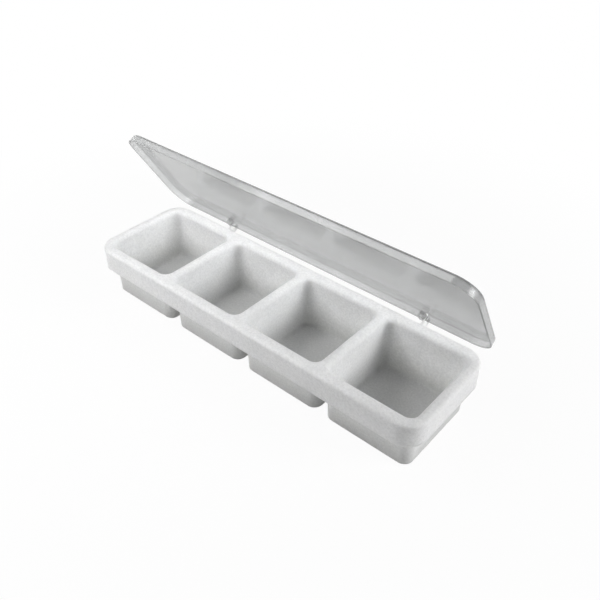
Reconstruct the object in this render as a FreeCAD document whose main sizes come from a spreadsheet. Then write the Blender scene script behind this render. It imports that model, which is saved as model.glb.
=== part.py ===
import FreeCAD, Part
import os
import re
import Sketcher
from FreeCAD import Placement, Rotation, Vector
from math import pi

# Bar caddy: a white moulded tray of four tapered pockets, and a clear lid hinged to the back of its rim.
# Millimetres. X runs along the row of pockets, +Y is the hinge side, and the pockets stand on Z = 0.

POCKETS = 4
QUARTER_TURN = pi / 2
TOLERANCE = 0.01

SIZES = {
    "rim_length": 470.0,
    "rim_depth": 135.0,
    "rim_height": 70.0,
    "rim_corner": 24.0,
    "rim_wall": 2.5,
    "rim_round": 3.0,
    "skirt_height": 28.0,
    "skirt_wall": 2.5,
    "end_band": 12.0,
    "side_band": 14.3,
    "divider": 12.3,
    "mouth_corner": 10.0,
    "mouth_round": 4.5,
    "pocket_wall": 2.5,
    "pocket_draft": 1.5,
    "floor_wall": 2.5,
    "floor_bevel": 2.5,
    "base_bevel": 2.5,
    "ear_place": 152.0,
    "ear_width": 3.2,
    "ear_radius": 4.0,
    "ear_top": 2.0,
    "ear_root": 12.0,
    "ear_bury": 1.2,
    "hinge_spacing": 292.0,
    "hinge_back": 12.0,
    "hinge_drop": 3.0,
    "pin_radius": 1.5,
    "pin_play": 0.06,
    "pin_stub": 1.8,
    "pin_nose": 1.2,
    "side_play": 0.4,
    "lug_width": 6.0,
    "lug_radius": 3.2,
    "lug_top": 4.0,
    "lug_low": 4.0,
    "lug_bury": 0.6,
    "panel_wall": 2.2,
    "flange_wall": 1.8,
    "flange_draft": 2.0,
    "lid_height": 10.0,
    "lid_round": 3.0,
    "rim_play": 0.5,
    "seat_play": 0.4,
    "slot_play": 0.9,
    "slot_over": 1.0,
    "open_angle": 58.2,
}

# What follows from the sizes above: the bands of rim around the row and the dividers leave this for each pocket.
DERIVED = {
    "mouth_length": f"(rim_length - 2 * end_band - {POCKETS - 1} * divider) / {POCKETS}",
    "mouth_depth": "rim_depth - 2 * side_band",
    "pocket_pitch": "mouth_length + divider",
}

doc = FreeCAD.newDocument("bar_caddy")


def add_sheet():
    """The driving dimensions and those that follow: name in column A, value or formula and alias in column B."""
    sheet = doc.addObject("Spreadsheet::Sheet", "sizes")
    formulas = {name: f"={rule}" for name, rule in DERIVED.items()}
    for row, (name, content) in enumerate({**SIZES, **formulas}.items(), start=1):
        sheet.set(f"A{row}", name)
        sheet.set(f"B{row}", str(content))
        sheet.setAlias(f"B{row}", name)
    doc.recompute()
    return sheet


def size(text):
    """Turns an expression in the names above, such as 'rim_length / 2', into one that reads the sheet."""
    return re.sub(r"[a-z]+_[a-z_]+", lambda found: "sizes." + found.group(0), text)


def worth(text):
    """The number that an expression in the names above comes to, for a sketch's first placing of its lines."""
    workings = doc.getObject("workings") or doc.addObject("Spreadsheet::Sheet", "workings")
    workings.set("A1", f"={size(text)}")
    workings.recompute()
    return float(workings.get("A1"))


def add_body(name):
    body = doc.addObject("PartDesign::Body", name)
    body.Label = name
    return body


def add_sketch(body, name, role, offset="0"):
    """A sketch on one of the body's own origin planes, moved along the plane's normal by an expression."""
    sketch = body.newObject("Sketcher::SketchObject", name)
    plane = [item for item in body.Origin.OriginFeatures if item.Role == role][0]
    sketch.AttachmentSupport = [(plane, "")]
    sketch.MapMode = "FlatFace"
    sketch.setExpression("AttachmentOffset.Base.z", size(offset))
    return sketch


def name_last(sketch, constraint, name, expression):
    """Adds a constraint, names it and binds it to the sheet."""
    index = sketch.addConstraint(constraint)
    sketch.renameConstraint(index, name)
    sketch.setExpression(f"Constraints.{name}", size(expression))


def rounded_rectangle(sketch, tag, length, depth, corner, middle_x="0", middle_y="0"):
    """Four lines and four arcs, tangent all round, with length, depth, corner and middle bound to the sheet."""
    x0, y0, wide, deep, radius = [worth(text) for text in (middle_x, middle_y, length, depth, corner)]
    left, right, low, high = x0 - wide / 2, x0 + wide / 2, y0 - deep / 2, y0 + deep / 2
    first = sketch.GeometryCount
    corners = [(right - radius, low + radius, 3), (right - radius, high - radius, 0),
               (left + radius, high - radius, 1), (left + radius, low + radius, 2)]
    lines = [((left + radius, low), (right - radius, low)), ((right, low + radius), (right, high - radius)),
             ((right - radius, high), (left + radius, high)), ((left, high - radius), (left, low + radius))]
    for (cx, cy, turns), (begin, end) in zip(corners, lines):
        sketch.addGeometry(Part.LineSegment(Vector(*begin, 0), Vector(*end, 0)))
        circle = Part.Circle(Vector(cx, cy, 0), Vector(0, 0, 1), radius)
        sketch.addGeometry(Part.ArcOfCircle(circle, turns * QUARTER_TURN, (turns + 1) * QUARTER_TURN))
    for step in range(4):
        line, arc = first + 2 * step, first + 2 * step + 1
        sketch.addConstraint(Sketcher.Constraint("Tangent", line, 2, arc, 1))
        sketch.addConstraint(Sketcher.Constraint("Tangent", arc, 2, first + (2 * step + 2) % 8, 1))
        if step:
            sketch.addConstraint(Sketcher.Constraint("Equal", first + 1, arc))
    for line, way in ((0, "Horizontal"), (2, "Vertical"), (4, "Horizontal"), (6, "Vertical")):
        sketch.addConstraint(Sketcher.Constraint(way, first + line))
    name_last(sketch, Sketcher.Constraint("Radius", first + 1, radius), f"{tag}corner", corner)
    name_last(sketch, Sketcher.Constraint("DistanceX", first + 6, 1, first + 2, 1, wide), f"{tag}length", length)
    name_last(sketch, Sketcher.Constraint("DistanceY", first, 1, first + 4, 1, deep), f"{tag}depth", depth)
    name_last(sketch, Sketcher.Constraint("DistanceX", -1, 1, first + 2, 1, right), f"{tag}right",
              f"({middle_x}) + ({length}) / 2")
    name_last(sketch, Sketcher.Constraint("DistanceY", -1, 1, first + 4, 1, high), f"{tag}back",
              f"({middle_y}) + ({depth}) / 2")
    return sketch


def add_pad(body, sketch, name, length, down=False, draft=None):
    pad = body.newObject("PartDesign::Pad", name)
    pad.Profile = sketch
    pad.setExpression("Length", size(length))
    pad.Reversed = down
    if draft:
        pad.setExpression("TaperAngle", size(draft))
    doc.recompute()
    return pad


def add_pocket(body, sketch, name, length, up=False, draft=None):
    before = body.Shape.Volume
    pocket = body.newObject("PartDesign::Pocket", name)
    pocket.Profile = sketch
    pocket.setExpression("Length", size(length))
    pocket.Reversed = up
    if draft:
        pocket.setExpression("TaperAngle", size(draft))
    doc.recompute()
    if body.Shape.Volume >= before:
        raise RuntimeError(f"{name} cuts nothing")
    return pocket


def add_fillet(body, base, name, radius, keep):
    """Rounds the edges of a feature for which keep(edge) is true."""
    names = [f"Edge{i}" for i, edge in enumerate(base.Shape.Edges, start=1) if keep(edge)]
    if not names:
        raise RuntimeError(f"{name} finds no edge")
    fillet = body.newObject("PartDesign::Fillet", name)
    fillet.Base = (base, names)
    fillet.setExpression("Radius", size(radius))
    doc.recompute()
    return fillet


def add_chamfer(body, base, name, width, keep):
    """Bevels the edges of a feature for which keep(edge) is true."""
    names = [f"Edge{i}" for i, edge in enumerate(base.Shape.Edges, start=1) if keep(edge)]
    if not names:
        raise RuntimeError(f"{name} finds no edge")
    chamfer = body.newObject("PartDesign::Chamfer", name)
    chamfer.Base = (base, names)
    chamfer.setExpression("Size", size(width))
    doc.recompute()
    return chamfer


def lies_at(edge, height):
    return max(abs(edge.BoundBox.ZMin - height), abs(edge.BoundBox.ZMax - height)) < TOLERANCE


def pocket_outlines(sketch, wall="0"):
    """One rounded rectangle for each pocket, wall wider on each side than the pocket's mouth."""
    for index in range(POCKETS):
        place = index - (POCKETS - 1) / 2
        rounded_rectangle(sketch, f"pocket{index + 1}_", f"mouth_length + 2 * ({wall})",
                          f"mouth_depth + 2 * ({wall})", f"mouth_corner + ({wall})", f"{place} * pocket_pitch")


def arm_outline(sketch, radius, middle, root):
    """A tapered arm seen from its side: a round end about middle (y, z), a flat root at root (y, top, low)."""
    y, z, root_y, top, low, r = [worth(text) for text in (*middle, *root, radius)]
    sketch.addGeometry(Part.LineSegment(Vector(root_y, top, 0), Vector(y, z + r, 0)))
    end = Part.Circle(Vector(y, z, 0), Vector(0, 0, 1), r)
    sketch.addGeometry(Part.ArcOfCircle(end, -QUARTER_TURN, QUARTER_TURN))
    sketch.addGeometry(Part.LineSegment(Vector(y, z - r, 0), Vector(root_y, low, 0)))
    sketch.addGeometry(Part.LineSegment(Vector(root_y, low, 0), Vector(root_y, top, 0)))
    sketch.addConstraint(Sketcher.Constraint("Tangent", 0, 2, 1, 2))
    sketch.addConstraint(Sketcher.Constraint("Tangent", 1, 1, 2, 1))
    sketch.addConstraint(Sketcher.Constraint("Coincident", 2, 2, 3, 1))
    sketch.addConstraint(Sketcher.Constraint("Coincident", 3, 2, 0, 1))
    sketch.addConstraint(Sketcher.Constraint("Vertical", 3))
    name_last(sketch, Sketcher.Constraint("Radius", 1, r), "end_radius", radius)
    name_last(sketch, Sketcher.Constraint("DistanceX", -1, 1, 1, 3, y), "end_y", middle[0])
    name_last(sketch, Sketcher.Constraint("DistanceY", -1, 1, 1, 3, z), "end_z", middle[1])
    name_last(sketch, Sketcher.Constraint("DistanceX", -1, 1, 0, 1, root_y), "root_y", root[0])
    name_last(sketch, Sketcher.Constraint("DistanceY", -1, 1, 0, 1, top), "root_top", root[1])
    name_last(sketch, Sketcher.Constraint("DistanceY", -1, 1, 2, 2, low), "root_low", root[2])
    return sketch


def circle_outline(sketch, radius, middle):
    """A circle about middle (y, z)."""
    y, z, r = [worth(text) for text in (*middle, radius)]
    index = sketch.addGeometry(Part.Circle(Vector(y, z, 0), Vector(0, 0, 1), r))
    name_last(sketch, Sketcher.Constraint("Radius", index, r), "hole_radius", radius)
    name_last(sketch, Sketcher.Constraint("DistanceX", -1, 1, index, 3, y), "hole_y", middle[0])
    name_last(sketch, Sketcher.Constraint("DistanceY", -1, 1, index, 3, z), "hole_z", middle[1])
    return sketch


def make_rim(body):
    """The flat rim and its down-turned skirt, open below."""
    foot = "rim_height - skirt_height"
    outline = add_sketch(body, "skirt_outline", "XY_Plane", foot)
    rounded_rectangle(outline, "", "rim_length", "rim_depth", "rim_corner")
    add_pad(body, outline, "skirt", "skirt_height")
    inside = add_sketch(body, "skirt_inside", "XY_Plane", foot)
    rounded_rectangle(inside, "", "rim_length - 2 * skirt_wall", "rim_depth - 2 * skirt_wall",
                      "rim_corner - skirt_wall")
    add_pocket(body, inside, "skirt_hollow", "skirt_height - rim_wall", up=True)


def make_pockets(body):
    """Four separate tapered pockets that hang from the rim, hollowed from above."""
    outside = add_sketch(body, "pocket_outsides", "XY_Plane", "rim_height")
    pocket_outlines(outside, "pocket_wall")
    add_pad(body, outside, "pocket_bodies", "rim_height", down=True, draft="-pocket_draft")
    mouths = add_sketch(body, "pocket_mouths", "XY_Plane", "rim_height")
    pocket_outlines(mouths)
    return add_pocket(body, mouths, "pocket_hollows", "rim_height - floor_wall", draft="-pocket_draft")


def near_outline(edge, inset):
    """True for an edge that reaches to within inset of the rim's outline."""
    box = edge.BoundBox
    along = SIZES["rim_length"] / 2 - max(abs(box.XMin), abs(box.XMax))
    across = SIZES["rim_depth"] / 2 - max(abs(box.YMin), abs(box.YMax))
    return min(along, across) < inset + TOLERANCE


def round_tray(body, base):
    """Rounds the rim's outer edge and the pockets' mouths, and bevels their floors inside and outside."""
    top, floor = SIZES["rim_height"], SIZES["floor_wall"]
    base = add_fillet(body, base, "rim_edge", "rim_round",
                      lambda edge: lies_at(edge, top) and near_outline(edge, 0))
    base = add_fillet(body, base, "mouth_edges", "mouth_round",
                      lambda edge: lies_at(edge, top) and not near_outline(edge, SIZES["rim_round"]))
    base = add_chamfer(body, base, "floor_edges", "floor_bevel", lambda edge: lies_at(edge, floor))
    return add_chamfer(body, base, "base_edges", "base_bevel", lambda edge: lies_at(edge, 0))


def make_ear(body, name, place):
    """One hinge ear on the back of the skirt, with the hole that the lid's pin turns in."""
    middle = ("rim_depth / 2 + hinge_back", "rim_height - hinge_drop")
    side = add_sketch(body, f"{name}_outline", "YZ_Plane", place)
    arm_outline(side, "ear_radius", middle,
                ("rim_depth / 2 - ear_bury", "rim_height - ear_top", "rim_height - ear_top - ear_root"))
    circle_outline(side, "pin_radius + pin_play", middle)
    add_pad(body, side, name, "ear_width")


def make_tray():
    body = add_body("tray")
    make_rim(body)
    round_tray(body, make_pockets(body))
    make_ear(body, "left_ear", "ear_place - hinge_spacing")
    make_ear(body, "right_ear", "ear_place")
    body.setExpression("Placement.Base.y", size("-(hinge_back + ear_radius) / 2"))
    return body


def make_cover(body):
    """The lid's panel and its turned-down flange, which widens towards the lip. The hinge is the body's X axis."""
    middle = "-(rim_depth / 2 + hinge_back)"
    under = "hinge_drop + seat_play"
    outline = add_sketch(body, "cover_outline", "XY_Plane", f"{under} + panel_wall")
    rounded_rectangle(outline, "", "rim_length + 2 * (rim_play + flange_wall)",
                      "rim_depth + 2 * (rim_play + flange_wall)", "rim_corner + rim_play + flange_wall",
                      middle_y=middle)
    add_pad(body, outline, "cover", "lid_height", down=True, draft="flange_draft")
    inside = add_sketch(body, "cover_inside", "XY_Plane", under)
    rounded_rectangle(inside, "", "rim_length + 2 * rim_play", "rim_depth + 2 * rim_play",
                      "rim_corner + rim_play", middle_y=middle)
    base = add_pocket(body, inside, "cover_hollow", "lid_height - panel_wall", draft="flange_draft")
    crown = worth(f"{under} + panel_wall")
    return add_fillet(body, base, "cover_bend", "lid_round", lambda edge: lies_at(edge, crown))


def make_slot(body, name, place):
    """A gap in the back flange, from the lip up to the panel, that an ear passes through when the lid is down.

    The box that cuts it reaches past the flange on three sides by slot_over."""
    window = add_sketch(body, f"{name}_outline", "YZ_Plane", f"{place} - side_play")
    under = "hinge_drop + seat_play"
    box_outline(window, ("-hinge_back - slot_over", "-hinge_back + rim_play + flange_wall + slot_over"),
                (f"{under} + panel_wall - lid_height - slot_over", under))
    add_pocket(body, window, name, "ear_width + side_play + slot_play", up=True)


def box_outline(sketch, across, up):
    """A plain rectangle between across[0] and across[1], up[0] and up[1]."""
    left, right, low, high = [worth(text) for text in (*across, *up)]
    points = [(left, low), (right, low), (right, high), (left, high)]
    for index, point in enumerate(points):
        sketch.addGeometry(Part.LineSegment(Vector(*point, 0), Vector(*points[(index + 1) % 4], 0)))
    for index, way in enumerate(("Horizontal", "Vertical", "Horizontal", "Vertical")):
        sketch.addConstraint(Sketcher.Constraint("Coincident", index, 2, (index + 1) % 4, 1))
        sketch.addConstraint(Sketcher.Constraint(way, index))
    name_last(sketch, Sketcher.Constraint("DistanceX", -1, 1, 0, 1, left), "left", across[0])
    name_last(sketch, Sketcher.Constraint("DistanceX", -1, 1, 1, 1, right), "right", across[1])
    name_last(sketch, Sketcher.Constraint("DistanceY", -1, 1, 0, 1, low), "low", up[0])
    name_last(sketch, Sketcher.Constraint("DistanceY", -1, 1, 2, 1, high), "high", up[1])


def make_lug(body, name, place):
    """A lug beside the ear's place, and the cross pin that it holds on the hinge axis."""
    side = add_sketch(body, f"{name}_outline", "YZ_Plane", f"{place} - side_play - lug_width")
    arm_outline(side, "lug_radius", ("0", "0"),
                ("-hinge_back + rim_play + flange_wall - lug_bury", "lug_top", "-lug_low"))
    add_pad(body, side, name, "lug_width")
    pin = add_sketch(body, f"{name}_pin_outline", "YZ_Plane", f"{place} - side_play - lug_width - pin_stub")
    circle_outline(pin, "pin_radius", ("0", "0"))
    add_pad(body, pin, f"{name}_pin", "pin_stub + lug_width + side_play + ear_width + pin_nose")


def make_lid():
    body = add_body("lid")
    make_cover(body)
    for name, place in (("left", "ear_place - hinge_spacing"), ("right", "ear_place")):
        make_slot(body, f"{name}_slot", place)
        make_lug(body, f"{name}_lug", place)
    body.Placement = Placement(Vector(0, 0, 0), Rotation(Vector(-1, 0, 0), SIZES["open_angle"]))
    body.setExpression("Placement.Rotation.Angle", size("open_angle"))
    body.setExpression("Placement.Base.y", size("rim_depth / 2 + hinge_back - (hinge_back + ear_radius) / 2"))
    body.setExpression("Placement.Base.z", size("rim_height - hinge_drop"))
    return body


def check(items):
    """Stops unless every object has recomputed without an error and every solid is valid."""
    for item in doc.Objects:
        if "Invalid" in item.State or "Error" in item.State:
            raise RuntimeError(f"{item.Name} is {item.State}")
    for item in items:
        if item.Shape.isNull() or not item.Shape.isValid() or len(item.Shape.Solids) != 1:
            raise RuntimeError(f"{item.Label} is not one valid solid")


add_sheet()
PARTS = [make_tray(), make_lid()]
doc.recompute()
check(PARTS)
os.makedirs("parts", exist_ok=True)
for item in PARTS:
    item.Shape.exportStep(f"parts/{item.Label}.step")
    box = item.Shape.BoundBox
    print(item.Label, "volume", round(item.Shape.Volume), "box", [round(value, 2) for value in (
        box.XMin, box.YMin, box.ZMin, box.XMax, box.YMax, box.ZMax)])
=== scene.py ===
# %% [markdown]
# # A bar caddy with a clear lid
#
# The object is a long white tray with four deep pockets, and a clear, smoky lid hinged along its back.
# Both are thin plastic mouldings, so the work here is in two finishes: a waxy white that glows where light
# comes through it, and a clear grey that goes dark at its edges. The solids arrive ready made, in metres.

from math import radians

import bpy
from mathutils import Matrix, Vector

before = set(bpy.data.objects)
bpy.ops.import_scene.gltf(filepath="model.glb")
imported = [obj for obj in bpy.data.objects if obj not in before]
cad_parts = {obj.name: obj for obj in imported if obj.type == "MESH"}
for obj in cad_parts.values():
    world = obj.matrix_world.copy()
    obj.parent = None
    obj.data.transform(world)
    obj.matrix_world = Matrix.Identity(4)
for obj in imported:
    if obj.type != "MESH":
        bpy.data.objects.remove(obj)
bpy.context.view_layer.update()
print("nodes:", sorted(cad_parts))

# %% [markdown]
# ## Small helpers for materials
#
# A finish is a graph of nodes. It could be drawn by hand in the shader editor, but a script can be read and
# changed in one place. Two helpers keep the graphs readable: one starts a material, and one adds a node, whose
# inputs may be plain values or sockets of other nodes.

# %% Start a material and add a node


def new_material(name):
    """An empty node material, its node tree and its output node."""
    material = bpy.data.materials.new(name)
    material.use_nodes = True
    tree = material.node_tree
    tree.nodes.clear()
    return material, tree, tree.nodes.new("ShaderNodeOutputMaterial")


def add_node(tree, kind, settings=None, **inputs):
    """A node of that kind. Settings are its properties, and keywords give its inputs a value or a link."""
    node = tree.nodes.new(kind)
    for name, value in (settings or {}).items():
        setattr(node, name, value)
    for name, value in inputs.items():
        socket = node.inputs[name.replace("_", " ")]
        if isinstance(value, bpy.types.NodeSocket):
            tree.links.new(value, socket)
        else:
            socket.default_value = value
    return node


print("helpers: new_material, add_node")

# %% [markdown]
# ## Noise, and what is made of it
#
# No moulding is perfectly even. An image could hold its clouds and flecks, but it would need a map of the
# surface and would repeat. Noise is worked out from a place on the object, so it fits any shape and never
# repeats. One helper makes it, one stretches it to the numbers that are wanted, and one turns it into colour.

# %% Make noise and stretch it


def noise(tree, place, scale, detail, roughness=0.5):
    """A soft random number from 0 to 1 for every place, with about scale bumps to the metre."""
    node = add_node(tree, "ShaderNodeTexNoise", Vector=place, Scale=scale, Detail=detail, Roughness=roughness)
    return node.outputs["Fac"]


def spread(tree, value, reach, result, smooth=False):
    """The value, stretched from one pair of numbers to another and held beyond its ends."""
    settings = {"interpolation_type": "SMOOTHSTEP" if smooth else "LINEAR"}
    node = add_node(tree, "ShaderNodeMapRange", settings, Value=value,
                    From_Min=reach[0], From_Max=reach[1], To_Min=result[0], To_Max=result[1])
    return node.outputs["Result"]


def tint(tree, value, *stops):
    """The colour of a ramp at that value. Each of its two stops is a place from 0 to 1 and a colour."""
    node = add_node(tree, "ShaderNodeValToRGB", Fac=value)
    for element, (position, colour) in zip(node.color_ramp.elements, stops):
        element.position = position
        element.color = (*colour, 1.0)
    return node.outputs["Color"]


print("helpers: noise, spread, tint")

# %% [markdown]
# ## The colour of the white plastic
#
# The tray is a milky polyethylene. The floors of its pockets lie on the table, where no light comes in from
# below, so they sit in shade. That shade is painted into the colour, which falls off towards the foot. It has
# also cooled unevenly: a broad noise shifts the colour in clouds and a fine one in flecks. A plain colour would
# be quicker, but every face would then look cut from paper.

# %% Mix the milky colour
# painted shade: the colour greys towards the foot, where the pocket floors sit in shade
FOOT_SHADE_GREY = 0.66  # how much of the colour is left at the foot
SHADE_FADE_HEIGHT = 0.050  # metres above the foot where the full colour is reached
CLOUD_STOPS = (0.3, (0.85, 0.855, 0.85)), (0.7, (0.91, 0.91, 0.905))  # noise and colour, dark and light
FLECKS = (0.90, 1.07)  # the colour of the darkest and the lightest fleck over the cloud's


def combine(tree, operation, first, *others):
    """One number from two or more sockets, by a Math node between each and the next."""
    result = first
    for other in others:
        node = add_node(tree, "ShaderNodeMath", {"operation": operation})
        tree.links.new(result, node.inputs[0])
        tree.links.new(other, node.inputs[1])
        result = node.outputs["Value"]
    return result


def dim(tree, colour, factor):
    """The colour times a factor."""
    node = add_node(tree, "ShaderNodeVectorMath", {"operation": "SCALE"}, Vector=colour, Scale=factor)
    return node.outputs["Vector"]


def milky_colour_and_foot_shade(tree, place):
    """A white with broad clouds and small flecks, and painted shade that greys it towards the foot."""
    clouds = noise(tree, place, scale=38.0, detail=4.0, roughness=0.55)
    mottle = noise(tree, place, scale=420.0, detail=2.0, roughness=0.7)
    height = add_node(tree, "ShaderNodeSeparateXYZ", Vector=place).outputs["Z"]
    # painted shade: darker towards the foot of the tray
    foot_shade_rise = spread(tree, height, (0.0, SHADE_FADE_HEIGHT), (FOOT_SHADE_GREY, 1.0), smooth=True)
    flecks = spread(tree, mottle, (0.3, 0.7), FLECKS)
    return dim(tree, tint(tree, clouds, *CLOUD_STOPS), combine(tree, "MULTIPLY", foot_shade_rise, flecks))


print("foot:", FOOT_SHADE_GREY, "of the full colour, which is reached at", SHADE_FADE_HEIGHT, "m")

# %% [markdown]
# ## The skin of the white plastic
#
# No edge of a moulding this thick is crisp. More facets could round it, but a Bevel node does it in the shading
# alone: it blends the directions of the faces that lie within a few millimetres. On top of that lie two reliefs,
# one for the wavy skin and one for the grain that the mould's steel leaves. The skin's noise varies the sheen
# too, because a wavy skin isn't equally smooth everywhere.

# %% Shape the moulded skin
SOFT_EDGE = 0.005  # metres over which shading rounds an edge
SHEEN = (0.38, 0.52)  # roughness of the smoothest and the dullest patch


def relief(tree, height, strength, distance, **normal):
    """A surface normal that follows bumps of that height, on top of another normal where one is given."""
    node = add_node(tree, "ShaderNodeBump", Height=height, Strength=strength, Distance=distance, **normal)
    return node.outputs["Normal"]


def moulded_normal(tree, place, skin):
    """The direction of the surface, with soft edges, a wavy skin and a fine grain."""
    edge = add_node(tree, "ShaderNodeBevel", {"samples": 4}, Radius=SOFT_EDGE)
    grain = noise(tree, place, scale=1500.0, detail=3.0, roughness=0.6)
    waves = relief(tree, skin, strength=0.40, distance=0.0004, Normal=edge.outputs["Normal"])
    return relief(tree, grain, strength=0.30, distance=0.00005, Normal=waves)


print("edges rounded over", SOFT_EDGE, "m, roughness", SHEEN)

# %% [markdown]
# ## White moulded plastic
#
# Polyethylene isn't opaque. Light that enters a wall spreads a few millimetres before it leaves, some of it on
# the far side, so the walls between the pockets glow and every edge is soft. A mix with a translucent shader
# would let light through but not sideways. Subsurface scattering does both, so it carries the whole colour.

# %% Make the white plastic and dress the tray
GLOW_DEPTH = 0.006  # metres that light spreads inside the plastic


def dress(name, material):
    """Gives a solid of the frame its one material."""
    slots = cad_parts[name].data.materials
    slots.clear()
    slots.append(material)
    print(name, "finish:", slots[0].name)


def white_plastic():
    """Milky plastic that scatters light inside it, under a soft and slightly uneven skin."""
    material, tree, output = new_material("white_plastic")
    place = add_node(tree, "ShaderNodeTexCoord").outputs["Object"]
    skin = noise(tree, place, scale=160.0, detail=2.0)
    plastic = add_node(tree, "ShaderNodeBsdfPrincipled", IOR=1.5, Base_Color=milky_colour_and_foot_shade(tree, place),
                       Roughness=spread(tree, skin, (0.0, 1.0), SHEEN), Normal=moulded_normal(tree, place, skin),
                       Subsurface_Weight=1.0, Subsurface_Radius=(1.0, 1.0, 0.95), Subsurface_Scale=GLOW_DEPTH)
    tree.links.new(plastic.outputs["BSDF"], output.inputs["Surface"])
    return material


dress("tray", white_plastic())

# %% [markdown]
# ## The edges of the clear plastic
#
# Clear plastic looks darker at its edges, partly because light has gone a long way inside it, and partly because
# the edges reflect and bend darker surroundings into view; that second part is painted shade here. A volume
# shader would do the first part too, but it is slow, and thin walls need a lot of it. Here an edge is found by
# its shape
# instead: it is a place where a slightly rounded normal disagrees with the true one. The two are compared, and
# the colour is dimmed by how far they differ.

# %% Find the lid's edges
# the dark edges are partly smoke in the plastic and partly painted shade
EDGE_WIDTH = 0.0018  # metres over which an edge gathers smoke
EDGE_SMOKE_AND_SHADE = 0.30  # the colour right at an edge over that of a face
EDGE_AGREEMENT = (0.75, 0.98)  # how far the normals agree at an edge and on a face, as a cosine


def edge_smoke_and_shade(tree):
    """1 on the faces, and less the nearer a place is to an edge."""
    # painted shade, with some real smoke: the colour is dimmed near the edges
    rounded = add_node(tree, "ShaderNodeBevel", {"samples": 4}, Radius=EDGE_WIDTH)
    surface = add_node(tree, "ShaderNodeNewGeometry")
    cosine = add_node(tree, "ShaderNodeVectorMath", {"operation": "DOT_PRODUCT"})
    tree.links.new(rounded.outputs["Normal"], cosine.inputs[0])
    tree.links.new(surface.outputs["Normal"], cosine.inputs[1])
    either_way = add_node(tree, "ShaderNodeMath", {"operation": "ABSOLUTE"}, Value=cosine.outputs["Value"])
    return spread(tree, either_way.outputs["Value"], EDGE_AGREEMENT, (EDGE_SMOKE_AND_SHADE, 1.0))


# the edges darken partly from smoke and partly as painted shade
print("edges gather smoke over", EDGE_WIDTH, "m")

# %% [markdown]
# ## The smoke in the lid, with painted light
#
# The lid's grey isn't the same everywhere. The solid lugs and the back of the flange beside them are darker.
# The flange is paler than the panel: that is painted light, standing for the light its outer face reflects from
# above. The colour also darkens towards the near end. Separate materials would leave hard borders, so one colour
# is dimmed by how far a place lies along the lid, from its hinge and above it. The lid stands open, so a Mapping
# node first turns those places flat about the hinge. Last, faint streaks follow the way the melt flowed: noise on
# coordinates that are squeezed one way comes out drawn out.

# %% Mix the smoke
HINGE = (0.0, 0.0715, 0.067)  # a point on the lid's axis, in metres
LID_ANGLE = radians(58.2)  # how far the lid stands open
FLANGE_TOP = (0.0010, 0.0034)  # metres above the hinge: where the flange's colour ends, and the panel's starts
# painted light: the flange is made paler than the panel, for the light it reflects from above
FLANGE_PAINTED_LIGHT = 1.22  # the flange's colour over the panel's
LID_ENDS = (-0.235, 0.235)  # metres along the hinge: the far end and the near end
# the colour is made darker towards the near end
NEAR_END_DARKENING = 0.90  # the colour at the near end over that at the far end
BACK_TO_LUG = (-0.0135, -0.0075)  # metres from the hinge, minus to the front: before the back flange, in the lugs
LUG_SMOKE = 0.60  # the solid lugs' colour over the flange's
STREAK_STOPS = (0.35, (0.55, 0.555, 0.555)), (0.65, (0.60, 0.605, 0.605))  # noise and colour, dark and light


def smoke_and_painted_light_colour(tree, place):
    """A streaked grey, darker in the lugs and towards the near end, with painted light that makes the flange
    paler, and edges darkened partly by smoke and partly by painted shade.
    """
    flat = add_node(tree, "ShaderNodeMapping", {"vector_type": "TEXTURE"}, Vector=place,
                    Location=HINGE, Rotation=(-LID_ANGLE, 0.0, 0.0))
    along, away, above = add_node(tree, "ShaderNodeSeparateXYZ", Vector=flat.outputs["Vector"]).outputs
    # painted light: the flange paler than the panel
    pale = spread(tree, above, FLANGE_TOP, (FLANGE_PAINTED_LIGHT, 1.0))
    # darker towards the near end
    near_end_darker = spread(tree, along, LID_ENDS, (1.0, NEAR_END_DARKENING))
    thick = spread(tree, away, BACK_TO_LUG, (1.0, LUG_SMOKE))
    drawn_out = add_node(tree, "ShaderNodeMapping", {"vector_type": "POINT"}, Vector=place,
                         Scale=(0.25, 1.0, 1.0), Rotation=(0.0, 0.0, 0.4))
    streaks = noise(tree, drawn_out.outputs["Vector"], scale=120.0, detail=5.0, roughness=0.7)
    share = combine(tree, "MULTIPLY", pale, near_end_darker, thick, edge_smoke_and_shade(tree))
    return dim(tree, tint(tree, streaks, *STREAK_STOPS), share)


print("smoke: flange", FLANGE_PAINTED_LIGHT, "near end", NEAR_END_DARKENING, "lugs", LUG_SMOKE)

# %% [markdown]
# ## Clear smoky plastic
#
# The lid is a solid with real thickness, so a shader that bends light does most of the work. Handled plastic is
# never polished: about a sixth of the light is scattered instead of passed on, a noise varies the roughness,
# and a faint wave blurs what is seen through it. Blender doesn't look for lamps through a bend, so such a shader
# casts a black shadow. Caustics would cure that at a great cost in time, so rays from lamps meet a plain
# see-through shader in its place.

# %% Make the clear plastic and dress the lid
CLEAR_SHARE = 0.84  # the share of light that is passed on, not scattered
HAZE = (0.10, 0.20)  # roughness of the clearest and the most scuffed patch
LAMPLIGHT = (0.84, 0.845, 0.845, 1.0)  # how much of a lamp's light gets through


def mix_shaders(tree, share, first, second):
    """A shader that is the first where share is 0 and the second where it is 1."""
    node = add_node(tree, "ShaderNodeMixShader", Fac=share)
    tree.links.new(first, node.inputs[1])
    tree.links.new(second, node.inputs[2])
    return node.outputs["Shader"]


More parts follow.
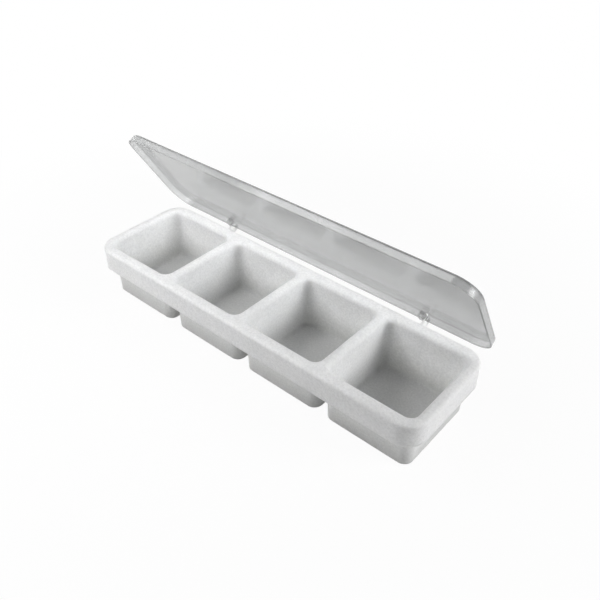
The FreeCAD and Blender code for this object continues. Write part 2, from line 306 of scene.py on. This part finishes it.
def clear_plastic():
    """Smoky clear plastic, finely scuffed and faintly rippled, that doesn't block the lamps."""
    material, tree, output = new_material("clear_plastic")
    place = add_node(tree, "ShaderNodeTexCoord").outputs["Object"]
    scuffs = noise(tree, place, scale=60.0, detail=6.0, roughness=0.65)
    ripple = noise(tree, place, scale=28.0, detail=1.0)
    plastic = add_node(tree, "ShaderNodeBsdfPrincipled", IOR=1.5, Transmission_Weight=CLEAR_SHARE,
                       Base_Color=smoke_and_painted_light_colour(tree, place), Roughness=spread(tree, scuffs, (0.0, 1.0), HAZE),
                       Normal=relief(tree, ripple, strength=0.20, distance=0.0003))
    passed = add_node(tree, "ShaderNodeBsdfTransparent", Color=LAMPLIGHT)
    from_lamp = add_node(tree, "ShaderNodeLightPath").outputs["Is Shadow Ray"]
    surface = mix_shaders(tree, from_lamp, plastic.outputs["BSDF"], passed.outputs["BSDF"])
    tree.links.new(surface, output.inputs["Surface"])
    return material


dress("lid", clear_plastic())

# %% [markdown]
# ## The floor
#
# The photograph is on plain white. Brighter lamps would burn out the white tray long before the floor, so the
# floor shows itself as white only to rays that come from the camera, or that reach it by way of the lid. Near
# the caddy a twentieth of its own lit colour stays in, and carries the soft shadow.

# %% Lay the floor
FADE = (0.24, 0.70)  # metres from the caddy's middle over which the lit colour goes
PLAIN_SHARE = (0.95, 1.0)  # the share of plain white near the caddy, and far from it


def seen_rays(tree):
    """1 for rays from the camera, off a shiny surface or through the lid, and 0 for all others."""
    path = add_node(tree, "ShaderNodeLightPath")
    kinds = [path.outputs[f"Is {kind} Ray"] for kind in ("Camera", "Glossy", "Transmission")]
    return combine(tree, "MAXIMUM", *kinds)


def floor_white():
    """Plain white to the eye, with a share of its lit colour near the caddy for the shadow to fall on."""
    material, tree, output = new_material("floor_white")
    place = add_node(tree, "ShaderNodeTexCoord").outputs["Object"]
    distance = add_node(tree, "ShaderNodeVectorMath", {"operation": "LENGTH"}, Vector=place).outputs["Value"]
    share = combine(tree, "MULTIPLY", seen_rays(tree), spread(tree, distance, FADE, PLAIN_SHARE, smooth=True))
    lit = add_node(tree, "ShaderNodeBsdfDiffuse", Color=(0.88, 0.88, 0.88, 1.0))
    plain = add_node(tree, "ShaderNodeEmission", Strength=1.0)
    surface = mix_shaders(tree, share, lit.outputs["BSDF"], plain.outputs["Emission"])
    tree.links.new(surface, output.inputs["Surface"])
    return material


bpy.ops.mesh.primitive_plane_add(size=8.0, location=(0.0, 0.0, 0.0))
floor = bpy.context.object
floor.name = "floor"
floor.data.materials.append(floor_white())
print("floor:", floor.name, tuple(round(value, 2) for value in floor.dimensions))

# %% [markdown]
# ## The air around it
#
# The air is white to the same rays, and nearly black to the rest. If it shone with its full strength, its light
# would fall into the pockets from everywhere and wash out their shading.

# %% Fill the air
WHITE = (1.0, 1.0, 1.0, 1.0)

world = bpy.data.worlds.new("studio")
bpy.context.scene.world = world
world.use_nodes = True
air = world.node_tree
air.nodes.clear()
soft = add_node(air, "ShaderNodeBackground", Color=WHITE, Strength=0.01)
plain = add_node(air, "ShaderNodeBackground", Color=WHITE, Strength=1.0)
sky = mix_shaders(air, seen_rays(air), soft.outputs["Background"], plain.outputs["Background"])
air.links.new(sky, add_node(air, "ShaderNodeOutputWorld").inputs["Surface"])
print("world:", world.name, "with", len(air.nodes), "nodes")

# %% [markdown]
# ## Lamps
#
# In the photograph the pockets are bright on the walls that face right, about halfway down, and dim on their
# floors. Such light comes from the right and from low down, so the key is a wide soft box there, 25 degrees up.
# Two weaker ones at the front light the outside walls, and a small one hangs over the far left pocket, which is
# the lightest of the four. The powers were found by rendering each lamp alone: light adds up, so the mixture
# that comes nearest to the photograph's tones can be worked out from those pictures.
#
# Two more only show in reflections. A strip overhead hangs where the near half of the lid's free edge mirrors
# it towards the camera, and so draws the pale band that runs along that edge. A weaker twin of the key takes
# over its gleam, since the key's own would burn out on the lid's outer face.

# %% Hang the lamps
MIDDLE = (0.0, 0.0, 0.05)  # a point inside the tray
KEY_PLACE = (1.70, 0.70, 0.90)  # to the right, a little behind, and low


def soft_box(name, place, aim, size, power, length=None):
    """An area lamp at place, turned to aim: a square of that size, or a strip of that width and length."""
    data = bpy.data.lights.new(name, "AREA")
    data.shape = "RECTANGLE"
    data.size = length or size
    data.size_y = size
    data.energy = power
    lamp = bpy.data.objects.new(name, data)
    bpy.context.scene.collection.objects.link(lamp)
    lamp.location = place
    lamp.rotation_euler = (Vector(aim) - Vector(place)).to_track_quat("-Z", "Y").to_euler()
    return lamp


key = soft_box("key", KEY_PLACE, MIDDLE, 0.9, 29.5)
front = soft_box("front", (-0.45, -0.50, 0.52), (-0.10, 0.0, 0.05), 0.5, 2.6)
fill = soft_box("fill", (-0.20, -0.90, 0.60), MIDDLE, 0.5, 2.1)
over = soft_box("over", (-0.17, -0.15, 0.45), (-0.17, 0.0, 0.05), 0.15, 0.5)
strip = soft_box("strip", (-0.25, -0.10, 0.90), (-0.25, -0.10, 0.0), 0.2, 1.6, length=0.70)
gleam = soft_box("gleam", KEY_PLACE, MIDDLE, 0.9, 8.0)
for lamp in (strip, gleam):
    lamp.visible_diffuse = False  # it shows in reflections only
key.visible_glossy = False  # its twin, the gleam, is reflected in its place
print("lamps:", [(lamp.name, round(lamp.data.energy, 2)) for lamp in (key, front, fill, over, strip, gleam)])

# %% [markdown]
# ## Camera
#
# A camera can be turned by eye until the picture fits, but a small error in its distance then hides in the
# object's length. This one was found by fitting the tray's straight edges to the photograph. It looks down at
# 38 degrees across the right front corner, from under a metre away, which is why the far end looks so small.

# %% Place the camera
LOOK_DOWN = radians(37.94)  # how far the view points below the horizon
TURN = radians(40.81)  # how far it is turned left of a view straight at the front

camera_data = bpy.data.cameras.new("camera")
camera_data.lens = 41.40
camera_data.sensor_width = 36.0
camera = bpy.data.objects.new("camera", camera_data)
camera.location = (0.42494, -0.45289, 0.54204)
camera.rotation_euler = (radians(90.0) - LOOK_DOWN, 0.0, TURN)
bpy.context.scene.collection.objects.link(camera)
bpy.context.scene.camera = camera
bpy.context.scene.view_settings.view_transform = "Standard"
print("camera at", tuple(round(value, 3) for value in camera.location))
